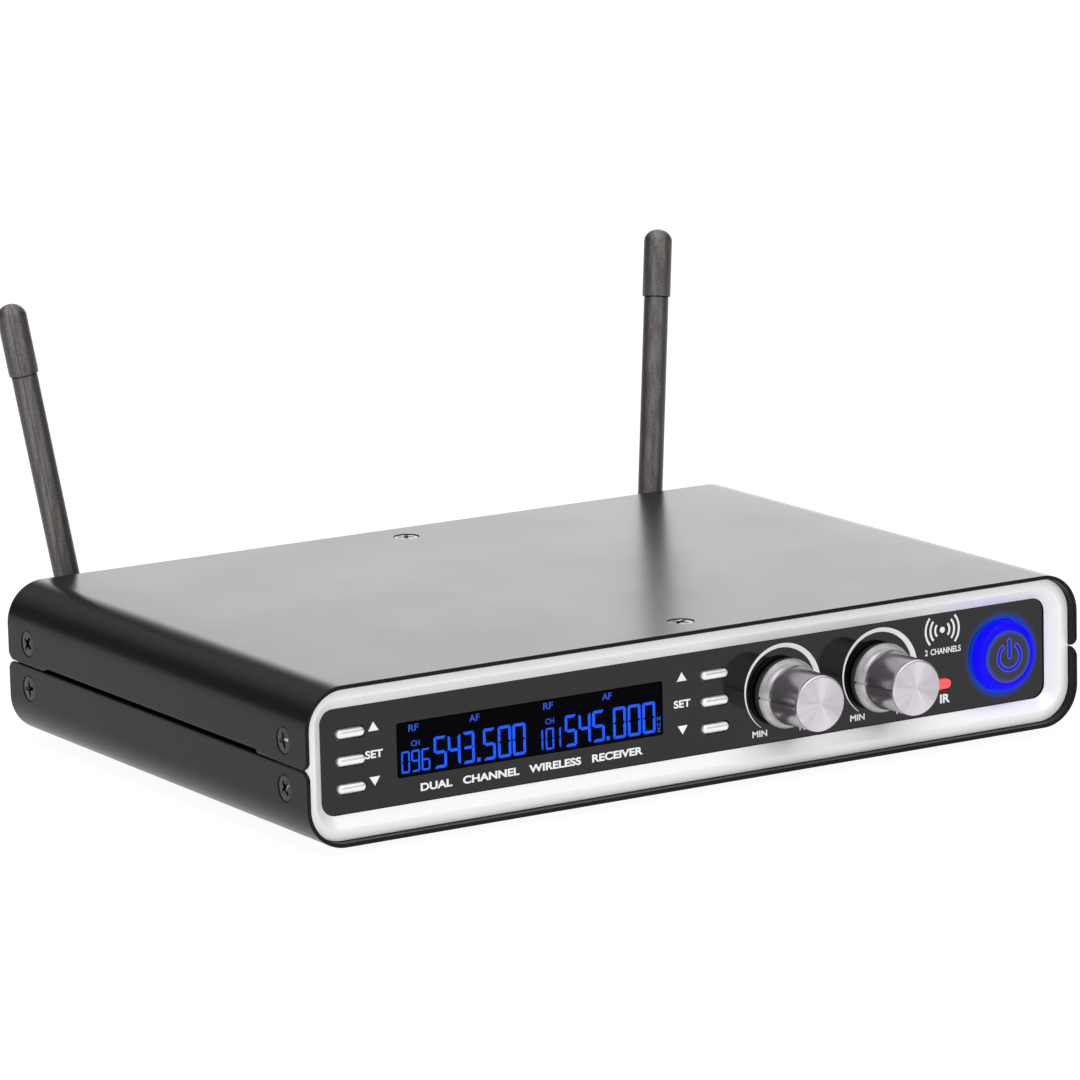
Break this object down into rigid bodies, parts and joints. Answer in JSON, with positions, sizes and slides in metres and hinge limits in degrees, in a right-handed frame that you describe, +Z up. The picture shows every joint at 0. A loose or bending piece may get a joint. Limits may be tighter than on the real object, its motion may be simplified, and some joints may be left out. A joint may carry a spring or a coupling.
{
  "type": "wireless microphone receiver",
  "caption": "Half-rack dual wireless microphone receiver: flat black steel case, silver front frame, gloss control panel, lit power button and folding rear antennas.",
  "frame": {"origin": "middle of the bottom of the bounding box, on the plane the rubber feet stand on", "axes": "+X to the right as seen from the front, +Y to the rear (the front panel faces -Y), +Z up"},
  "size_m": [0.2166, 0.1872, 0.1068],
  "materials": {
    "black_paint": "semi-gloss black powder paint with a fine texture",
    "frame_silver": "satin silver-white paint on moulded plastic",
    "gloss_black": "high gloss black",
    "display_glass": "high gloss smoked black",
    "key_white": "satin silver-white",
    "knob_metal": "spun face and turned sides",
    "black_plastic": "matt moulded black",
    "steel": "plain bright plated",
    "power_blue": "clear blue, lit from behind",
    "ir_red": "clear red, lit from behind",
    "screw_black": "black zinc",
    "antenna_grey": "satin dark warm grey with a fine grain",
    "board_green": "green solder resist",
    "foot_rubber": "matt black rubber"
  },
  "bodies": {
    "chassis": {"balanced_output_a": "steel", "balanced_output_b": "steel", "board_post_1": "steel", "board_post_2": "steel", "board_post_3": "steel", "board_post_4": "steel", "control_board": "board_green", "display_module": "black_plastic", "display_window": "display_glass", "foot_1": "foot_rubber", "foot_2": "foot_rubber", "foot_3": "foot_rubber", "foot_4": "foot_rubber", "front_bezel": "frame_silver", "front_panel": "gloss_black", "ir_window": "ir_red", "key_switches_left": "black_plastic", "key_switches_right": "black_plastic", "lower_shell": "black_paint", "main_board": "board_green", "mix_output_jack": "black_plastic", "power_inlet": "black_plastic", "power_switch": "black_plastic", "rear_panel": "black_paint", "screw_left_front_high": "screw_black", "screw_left_front_low": "screw_black", "screw_left_rear_high": "screw_black", "screw_left_rear_low": "screw_black", "screw_right_front_high": "screw_black", "screw_right_front_low": "screw_black", "screw_right_rear_high": "screw_black", "screw_right_rear_low": "screw_black", "screw_top_front": "screw_black", "screw_top_rear": "screw_black", "tuner_can_a": "steel", "tuner_can_b": "steel", "upper_shell": "black_paint", "volume_pot_a": "steel", "volume_pot_b": "steel"},
    "key_left_up": {"key_left_up": "key_white"},
    "key_left_set": {"key_left_set": "key_white"},
    "key_left_down": {"key_left_down": "key_white"},
    "key_right_up": {"key_right_up": "key_white"},
    "key_right_set": {"key_right_set": "key_white"},
    "key_right_down": {"key_right_down": "key_white"},
    "volume_a": {"volume_knob_a": "knob_metal", "knob_core_a": "black_plastic", "pot_shaft_a": "steel"},
    "volume_b": {"volume_knob_b": "knob_metal", "knob_core_b": "black_plastic", "pot_shaft_b": "steel"},
    "power": {"power_button": "power_blue", "power_button_face": "gloss_black"},
    "antenna_turn_left": {"antenna_base_left": "black_plastic"},
    "antenna_left": {"antenna_rod_left": "antenna_grey", "antenna_cap_left": "antenna_grey"},
    "antenna_turn_right": {"antenna_base_right": "black_plastic"},
    "antenna_right": {"antenna_rod_right": "antenna_grey", "antenna_cap_right": "antenna_grey"}
  },
  "joints": [
    {"name": "key_left_up_press", "type": "slide", "parent": "chassis", "child": "key_left_up", "axis": [0, 1, 0], "range_m": [0, 0.0007], "stiffness_N_per_m": 300, "springref_m": -0.0015},
    {"name": "key_left_set_press", "type": "slide", "parent": "chassis", "child": "key_left_set", "axis": [0, 1, 0], "range_m": [0, 0.0007], "stiffness_N_per_m": 300, "springref_m": -0.0015},
    {"name": "key_left_down_press", "type": "slide", "parent": "chassis", "child": "key_left_down", "axis": [0, 1, 0], "range_m": [0, 0.0007], "stiffness_N_per_m": 300, "springref_m": -0.0015},
    {"name": "key_right_up_press", "type": "slide", "parent": "chassis", "child": "key_right_up", "axis": [0, 1, 0], "range_m": [0, 0.0007], "stiffness_N_per_m": 300, "springref_m": -0.0015},
    {"name": "key_right_set_press", "type": "slide", "parent": "chassis", "child": "key_right_set", "axis": [0, 1, 0], "range_m": [0, 0.0007], "stiffness_N_per_m": 300, "springref_m": -0.0015},
    {"name": "key_right_down_press", "type": "slide", "parent": "chassis", "child": "key_right_down", "axis": [0, 1, 0], "range_m": [0, 0.0007], "stiffness_N_per_m": 300, "springref_m": -0.0015},
    {"name": "volume_a_turn", "type": "hinge", "parent": "chassis", "child": "volume_a", "pos_m": [0.02515, -0.07731, 0.02035], "axis": [0, 1, 0], "range_deg": [-60, 240]},
    {"name": "volume_b_turn", "type": "hinge", "parent": "chassis", "child": "volume_b", "pos_m": [0.05275, -0.07731, 0.02035], "axis": [0, 1, 0], "range_deg": [-60, 240]},
    {"name": "power_press", "type": "slide", "parent": "chassis", "child": "power", "axis": [0, 1, 0], "range_m": [0, 0.0016], "stiffness_N_per_m": 400, "springref_m": -0.002},
    {"name": "antenna_turn_left", "type": "hinge", "parent": "chassis", "child": "antenna_turn_left", "pos_m": [-0.0843, 0.07514, 0.021], "axis": [0, 1, 0], "range_deg": [-81.9, 98.1]},
    {"name": "antenna_fold_left", "type": "hinge", "parent": "antenna_turn_left", "child": "antenna_left", "pos_m": [-0.0843, 0.07514, 0.021], "axis": [-0.99, 0, -0.1409], "range_deg": [-5.2, 84.8]},
    {"name": "antenna_turn_right", "type": "hinge", "parent": "chassis", "child": "antenna_turn_right", "pos_m": [0.0843, 0.07514, 0.021], "axis": [0, 1, 0], "range_deg": [-100.05, 79.95]},
    {"name": "antenna_fold_right", "type": "hinge", "parent": "antenna_turn_right", "child": "antenna_right", "pos_m": [0.0843, 0.07514, 0.021], "axis": [-0.9847, 0, 0.1745], "range_deg": [-10.2, 79.8]}
  ]
}
